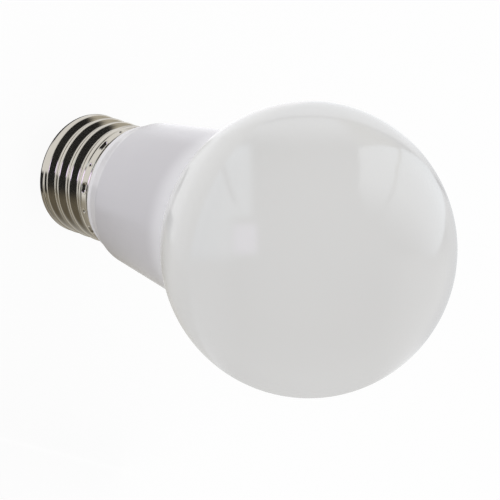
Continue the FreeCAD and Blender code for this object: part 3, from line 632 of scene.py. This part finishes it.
# %% Housing outline
rim_corner = (RIM_RADIUS, LAND_TOP)
waist_corner = (WAIST_RADIUS, WAIST)
rim_low = round_corner((COLLAR_SEAT, CAP_TOP), (RIM_RADIUS, CAP_TOP), rim_corner, 0.3)
rim_high = round_corner((RIM_RADIUS, CAP_TOP), rim_corner, waist_corner, 0.4)
waist = round_corner(rim_corner, waist_corner, (MOUTH_RADIUS, SEAM), 0.6)
lip = round_corner(waist_corner, (MOUTH_RADIUS, SEAM), (SKIRT_RADIUS, SEAM), 0.15)
neck = [
    (NECK_BORE, NECK_END), (NECK_RADIUS, NECK_END), (NECK_RADIUS, THREAD_TOP),
    (COLLAR_SEAT, THREAD_TOP + 0.4), (COLLAR_SEAT, CRIMP_HEIGHT - CRIMP_REACH),
    (CRIMP_GROOVE, CRIMP_HEIGHT - CRIMP_REACH), (CRIMP_GROOVE, CRIMP_HEIGHT + CRIMP_REACH),
    (COLLAR_SEAT, CRIMP_HEIGHT + CRIMP_REACH), (COLLAR_SEAT, CAP_TOP),
]
inside = [
    (SOCKET_RADIUS, SEAM), (SOCKET_RADIUS, BEAD_HEIGHT + SNAP), (SOCKET_RADIUS + SNAP, BEAD_HEIGHT),
    (SOCKET_RADIUS, BEAD_HEIGHT - SNAP), (SOCKET_RADIUS, SOCKET_END), (CUP_MOUTH_RADIUS, SOCKET_END),
    (CUP_FOOT_RADIUS, CUP_FOOT), (NECK_BORE, WAIST),
]
turned(neck + rim_low + rim_high + waist + lip + inside, 192, True)
housing = finish_mesh("housing_shell", 30)
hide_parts("housing")

# %% [markdown]
# ## The rolled screw shell
# The shell is sheet 0.3 mm thick, rolled between two formed wheels, so inside and outside
# show the same wave. The Screw modifier would make an endless thread, but a rolled one
# runs out into the plain collar and into the rounded end. So a plain tube is raised ring
# by ring, and its vertices are then moved by the thread's own rule: two equal arcs, a
# crest and a root, that climb one pitch in a turn and fade at both ends.

# %% The thread's rule
PITCH = 25.4 / 7
DEPTH = 1.1
ARC = (PITCH ** 2 / 4 + DEPTH ** 2) / (4 * DEPTH)
FIRST_CREST = 0.9
RUN_OUT = 0.9
THREAD_START = -90


def thread_depth(degrees, height):
    """Depth of the thread below its crest at an angle about the axis and a height in millimetres."""
    crest = THREAD_BOTTOM + FIRST_CREST + PITCH * (degrees - THREAD_START) / 360
    along = abs((height - crest + PITCH / 2) % PITCH - PITCH / 2)
    if along <= PITCH / 4:
        depth = ARC - math.sqrt(ARC ** 2 - along ** 2)
    else:
        depth = DEPTH - ARC + math.sqrt(ARC ** 2 - (PITCH / 2 - along) ** 2)
    share = min(1, max(0, min(THREAD_TOP - height, height - THREAD_BOTTOM) / RUN_OUT))
    return depth * share * share * (3 - 2 * share)


print("arc radius mm:", round(ARC, 3))

# %% A plain tube with a rounded end
END_ROUND = 2.6
THREAD_ROWS = 72
COLLAR_ROWS = 26


def rows(low, high, count):
    """Rings of the plain tube above one height and up to another."""
    return [(CREST_RADIUS, low + (high - low) * i / count) for i in range(1, count + 1)]


end_arc = arc((CREST_RADIUS - END_ROUND, THREAD_BOTTOM), END_ROUND, -75, 0, 10)
tube = end_arc + rows(THREAD_BOTTOM, THREAD_TOP, THREAD_ROWS) + rows(THREAD_TOP, CAP_TOP, COLLAR_ROWS)
turned(tube, 352, False)
shell = bpy.context.object
print("rings:", len(tube))

# %% [markdown]
# The collar is fixed to the housing by punches: long ones every 45 degrees and a small
# dot between each two. A groove line runs round where the collar meets the thread, and a
# second one beside the housing. All of them are rules for the depth at a place, and the
# depths are added up, so that they can meet without any seam in the mesh.

# %% Punches and grooves
CRIMP_ANGLE = -119.7
LONG_PUNCH = (0.55, 0.68, 0.5)
DOT_PUNCH = (0.0, 0.5, 0.28)
GROOVES = [(THREAD_TOP + 0.5, 0.25, 0.14), (CAP_TOP - 1.05, 0.28, 0.16)]


def punched(degrees, height):
    """Depth of the crimp punches at a place on the collar."""
    deepest = 0
    for index in range(16):
        half_length, reach, depth = DOT_PUNCH if index % 2 else LONG_PUNCH
        offset = (degrees - CRIMP_ANGLE - 22.5 * index + 180) % 360 - 180
        beside = max(0, abs(math.radians(offset) * CREST_RADIUS) - half_length)
        near = math.hypot(beside, height - CRIMP_HEIGHT) / reach
        if near < 1:
            deepest = max(deepest, depth * (1 - near ** 2) ** 0.8)
    return deepest


def grooved(height):
    """Depth of the groove lines, each with its height, half width and depth."""
    total = 0
    for middle, half_width, depth in GROOVES:
        total += depth * max(0, 1 - abs(height - middle) / half_width)
    return total


print("punches: 16, grooves:", len(GROOVES))

# %% The tube becomes the shell
SHEET = 0.3
for vertex in shell.data.vertices:
    height = vertex.co.z / MM
    radius = math.hypot(vertex.co.x, vertex.co.y) / MM
    if height >= THREAD_BOTTOM:
        degrees = math.degrees(math.atan2(vertex.co.y, vertex.co.x))
        new_radius = radius - thread_depth(degrees, height) - grooved(height) - punched(degrees, height)
        vertex.co.x *= new_radius / radius
        vertex.co.y *= new_radius / radius
only(shell)
bpy.ops.object.mode_set(mode="EDIT")
bpy.ops.mesh.select_all(action="SELECT")
bpy.ops.mesh.normals_make_consistent(inside=False)
bpy.ops.object.mode_set(mode="OBJECT")
give_wall(shell, SHEET)
shell = finish_mesh("screw_cap_shell", 50)
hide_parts("screw_shell")

# %% [markdown]
# ## Insulator and centre contact
# Under the shell sits a dark cone that keeps the two contacts apart, and in its foot a
# flat tinned disc with a pin. Both are plain lathe shapes. The cone has a bore for the
# pin. The contact is solid on the real lamp, but here it keeps a bore as thin as a hair
# on its axis, so that one closed loop of faces makes it, as it makes the cone.

# %% The dark cone
CONE_TOP = (10.9, 6.49)
CONE_FOOT = (5.8, 0.6)
SEAT_RADIUS = 4.85
SEAT_TOP = 1.0
PIN_BORE = 1.35
SHELL_GAP = 0.08

fit = arc((CREST_RADIUS - END_ROUND, THREAD_BOTTOM), END_ROUND - SHEET - SHELL_GAP, 0, -75, 8)
seat = (SEAT_RADIUS, CONE_FOOT[1])
foot_round = round_corner(CONE_TOP, CONE_FOOT, seat, 0.3)
lip_round = round_corner(fit[-1], (fit[-1][0] - 0.05, CONE_TOP[1]), foot_round[0], 0.04)
cone_outline = [(PIN_BORE, THREAD_BOTTOM)] + fit + lip_round + foot_round
cone_outline += [seat, (SEAT_RADIUS, SEAT_TOP), (PIN_BORE, SEAT_TOP)]
turned(cone_outline, 128, True)
insulator = finish_mesh("dark_cone", 30)
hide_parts("cap_insulator")

# %% The contact and its pin
DISC_RADIUS = 4.8
DISC_ROUND = 0.5
PIN_RADIUS = 1.3
PIN_TOP = 7.0
PIN_CHAMFER = 0.1
HAIR_BORE = 0.02

disc_flat = DISC_RADIUS - DISC_ROUND
disc_top = (DISC_RADIUS, SEAT_TOP)
contact_outline = [(HAIR_BORE, 0.0), (disc_flat, 0.0)]
contact_outline += arc((disc_flat, DISC_ROUND), DISC_ROUND, -80, 0, 6)
contact_outline += round_corner((DISC_RADIUS, DISC_ROUND), disc_top, (PIN_RADIUS, SEAT_TOP), 0.1)
contact_outline += [
    (PIN_RADIUS, SEAT_TOP), (PIN_RADIUS, PIN_TOP - PIN_CHAMFER),
    (PIN_RADIUS - PIN_CHAMFER, PIN_TOP), (HAIR_BORE, PIN_TOP),
]
turned(contact_outline, 96, True)
contact = finish_mesh("contact_disc", 30)
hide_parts("centre_contact")

# %% [markdown]
# ## Finishes
# Every finish here is a Principled shader whose fixed numbers stand on its own sockets.
# Only colour, roughness, coat and bump vary, and they follow Object coordinates, in which
# all pieces share one frame. A fine noise and a broad noise are enough for moulded
# plastic: the broad one for thickness and flow, the fine one for the skin of the mould.
# Metal gets streaks along the axis instead, as drawing and handling leave them.

# %% A Principled finish
class Finish(Network):
    def __init__(self, name, fixed):
        self.material = bpy.data.materials.new(name)
        super().__init__(self.material)
        self.fixed = fixed
        self.place = self.node("ShaderNodeTexCoord", {}, {}, "Object")

    def height(self):
        """Height above the contact's tip, in metres."""
        return self.node("ShaderNodeSeparateXYZ", {}, {0: self.place}, "Z")

    def noise(self, scale, detail, vector=None):
        inputs = {"Vector": vector or self.place, "Scale": scale, "Detail": detail}
        return self.node("ShaderNodeTexNoise", {}, inputs)

    def stretched(self, scales):
        return self.node("ShaderNodeMapping", {}, {"Vector": self.place, "Scale": scales})

    def bump(self, height, strength, microns):
        """A bump of a height in thousandths of a millimetre."""
        inputs = {"Strength": strength, "Distance": microns * MM * MM, "Height": height}
        return self.node("ShaderNodeBump", {}, inputs)

    def done(self, varying):
        inputs = dict(self.fixed)
        inputs.update(varying)
        look = self.node("ShaderNodeBsdfPrincipled", {}, inputs)
        self.node("ShaderNodeOutputMaterial", {}, {0: look})
        return self.material


# %% Makers of plastic and metal
def plastic(name, colour, other, roughness, broad, fine, microns):
    """Moulded plastic: two close colours, an uneven gloss and a fine skin."""
    finish = Finish(name, {"IOR": 1.5})
    flow = finish.noise(broad, 2.0)
    skin = finish.noise(fine, 2.0)
    return finish.done({
        "Base Color": finish.mix(flow, colour + (1,), other + (1,)),
        "Roughness": roughness + (skin - 0.5) * (0.3 * roughness),
        "Normal": finish.bump(skin, 0.3, microns),
    })


def metal(name, colour, other, roughness, broad, scratches, microns):
    """Plated or drawn metal: two close tints, streaks along the axis and fine scratches."""
    finish = Finish(name, {"Metallic": 1.0})
    cloud = finish.noise(broad, 3.0)
    streak = finish.noise(scratches, 3.0, finish.stretched((1.0, 1.0, 0.12)))
    return finish.done({
        "Base Color": finish.mix(cloud, colour + (1,), other + (1,)),
        "Roughness": roughness + (streak - 0.5) * roughness,
        "Normal": finish.bump(streak + cloud * 2.0, 0.35, microns),
    })


print("finish makers ready")

# %% [markdown]
# The globe's plastic is milky and polished: a pale neutral grey under the tent, with a
# mirror sheen that shows the soft boxes with slightly soft edges. Light that wanders
# through the real wall makes it paler towards the seam. Subsurface scattering could do
# that, but it is slow and doesn't travel with the model, so the paler colour is painted
# over a broad height.

# %% The milky plastic
PALE_BELOW = SEAM + 7
PLAIN_ABOVE = SEAM + 23

milky = Finish("milky_plastic", {"IOR": 1.5})
painted_seam_glow = 1 - milky.between(milky.height(), PALE_BELOW * MM, PLAIN_ABOVE * MM)
body_colour = milky.mix(milky.noise(9.0, 2.0), (0.666, 0.662, 0.655, 1), (0.676, 0.672, 0.665, 1))
globe.data.materials.append(milky.done({
    "Base Color": milky.mix(painted_seam_glow, body_colour, grey(0.81)),
    "Roughness": 0.12 + milky.noise(900.0, 2.0) * 0.02,
    "Normal": milky.bump(milky.noise(60.0, 1.0), 0.2, 40),
}))
print("globe painted")

# %% [markdown]
# The housing's plastic is whiter in the hand but has a faint violet cast in this light,
# and a satin skin. Above the waist it has a soft polish, which a coat gives, and below it
# the bevelled rim has no coat and is painted paler, a painted highlight for the light that
# it catches. Near the globe the wall is thin and lets some of the globe's light through,
# and that light is painted in as a paler colour over a broad step, not along a line.

# %% The white plastic
WAIST_BLEND = 0.5

white = Finish("white_plastic", {"IOR": 1.5, "Coat Roughness": 0.24})
height = white.height()
# Painted light: the colour is paler towards the seam, for the globe's light that comes through the thin
# wall.
painted_seam_glow = white.between(height, (SEAM - 6.5) * MM, (SEAM - 0.5) * MM)
at_body = white.between(height, (WAIST - WAIST_BLEND) * MM, (WAIST + WAIST_BLEND) * MM)
skin = white.noise(2600.0, 2.0)
body_colour = white.mix(white.noise(40.0, 2.0), (0.575, 0.56, 0.59, 1), (0.59, 0.575, 0.605, 1))
# Painted highlight: below the waist the bevelled rim is painted paler, for the light that it catches.
body_colour = white.mix(at_body, (0.78, 0.765, 0.79, 1), body_colour)
housing.data.materials.append(white.done({
    "Coat Weight": at_body * 0.9,
    "Base Color": white.mix(painted_seam_glow, body_colour, (0.76, 0.75, 0.78, 1)),
    "Roughness": 0.22 + (skin - 0.5) * 0.06,
    "Normal": white.bump(skin, 0.3, 30),
}))
print("housing painted")

# %% [markdown]
# Nickel is a warm grey mirror. Rolling leaves it a little uneven, so a broad noise shifts
# its tint and bends the reflections, and a streaky one along the axis varies its gloss
# and adds fine scratches. The insulator is dark and satin, and the tinned contact is a
# duller mirror.

# %% Nickel, insulator and tin
nickel = metal("nickel_plate", (0.70, 0.665, 0.60), (0.62, 0.585, 0.52), 0.12, 160.0, 700.0, 20)
shell.data.materials.append(nickel)
dark = plastic("dark_insulator", (0.018, 0.017, 0.016), (0.035, 0.032, 0.03), 0.32, 200.0, 3000.0, 40)
insulator.data.materials.append(dark)
tinned = metal("tinned_contact", (0.74, 0.74, 0.72), (0.62, 0.61, 0.58), 0.3, 400.0, 1800.0, 50)
contact.data.materials.append(tinned)
print("metal and insulator painted")

# %% [markdown]
# ## The works inside
# The board, its parts and the cooling cup stay as the CAD solids, whose form is right.
# They only get their finishes, one for each kind of material. A row names the nodes and
# the maker, and then what the maker takes: the finish's name, its two colours, its
# roughness, the scales of its broad and fine noise, and the height of its bump in
# thousandths of a millimetre.

# %% Finishes of the inner parts
CHIPS = "bridge_rectifier driver_ic output_diode"
INNER = [
    ("heat_sink", metal,
     "drawn_aluminium", (0.78, 0.78, 0.79), (0.66, 0.66, 0.68), 0.3, 120.0, 1500.0, 50),
    ("thermal_pad", plastic,
     "grey_pad", (0.25, 0.27, 0.3), (0.31, 0.33, 0.36), 0.7, 300.0, 5000.0, 50),
    ("led_board", plastic,
     "white_mask", (0.78, 0.79, 0.77), (0.72, 0.73, 0.72), 0.35, 250.0, 4000.0, 20),
    ("led_packages", plastic,
     "led_body", (0.74, 0.74, 0.7), (0.8, 0.8, 0.77), 0.4, 900.0, 6000.0, 20),
    ("led_phosphors", plastic,
     "phosphor", (0.8, 0.58, 0.08), (0.86, 0.68, 0.16), 0.5, 1200.0, 9000.0, 30),
    ("board_screws", metal,
     "zinc_screw", (0.63, 0.65, 0.66), (0.5, 0.52, 0.54), 0.28, 900.0, 3000.0, 30),
    ("pin_socket", plastic,
     "socket_plastic", (0.68, 0.66, 0.58), (0.75, 0.73, 0.66), 0.45, 600.0, 5000.0, 30),
    ("board_pins", metal,
     "tinned_pin", (0.72, 0.71, 0.68), (0.6, 0.59, 0.56), 0.25, 900.0, 4000.0, 20),
    ("driver_board", plastic,
     "board_laminate", (0.34, 0.27, 0.12), (0.42, 0.34, 0.17), 0.45, 700.0, 5000.0, 40),
    ("input_capacitor", plastic,
     "black_sleeve", (0.016, 0.016, 0.02), (0.03, 0.03, 0.034), 0.3, 500.0, 4000.0, 20),
    ("output_capacitor", plastic,
     "blue_sleeve", (0.02, 0.05, 0.2), (0.03, 0.07, 0.27), 0.3, 500.0, 4000.0, 20),
    ("filter_inductor", plastic,
     "green_lacquer", (0.03, 0.16, 0.05), (0.05, 0.22, 0.08), 0.28, 800.0, 5000.0, 40),
    ("inductor_core", plastic,
     "ferrite", (0.03, 0.03, 0.032), (0.055, 0.055, 0.058), 0.5, 900.0, 6000.0, 60),
    ("inductor_bobbin", plastic,
     "bobbin_plastic", (0.02, 0.02, 0.02), (0.04, 0.04, 0.04), 0.4, 600.0, 5000.0, 30),
    ("inductor_winding", plastic,
     "winding_tape", (0.62, 0.46, 0.08), (0.7, 0.54, 0.13), 0.3, 500.0, 4500.0, 30),
    (CHIPS, plastic,
     "chip_plastic", (0.018, 0.018, 0.019), (0.03, 0.03, 0.032), 0.55, 900.0, 7000.0, 30),
    ("chip_resistors", plastic,
     "resistor_chip", (0.02, 0.02, 0.022), (0.05, 0.05, 0.055), 0.35, 1500.0, 9000.0, 20),
    ("fusible_resistor", plastic,
     "resistor_body", (0.12, 0.32, 0.36), (0.17, 0.4, 0.43), 0.4, 700.0, 5000.0, 40),
    ("resistor_sleeve", plastic,
     "clear_sleeve", (0.5, 0.5, 0.47), (0.6, 0.6, 0.57), 0.2, 600.0, 4000.0, 20),
    ("shell_wire", metal,
     "tinned_wire", (0.7, 0.68, 0.64), (0.58, 0.56, 0.52), 0.3, 1200.0, 5000.0, 30),
]
for nodes, maker, *finish in INNER:
    material = maker(*finish)
    for name in nodes.split():
        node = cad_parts[name]
        for slot in node.material_slots:
            slot.material = material
        if not node.material_slots:
            node.data.materials.append(material)
print("inner finishes:", len(INNER))
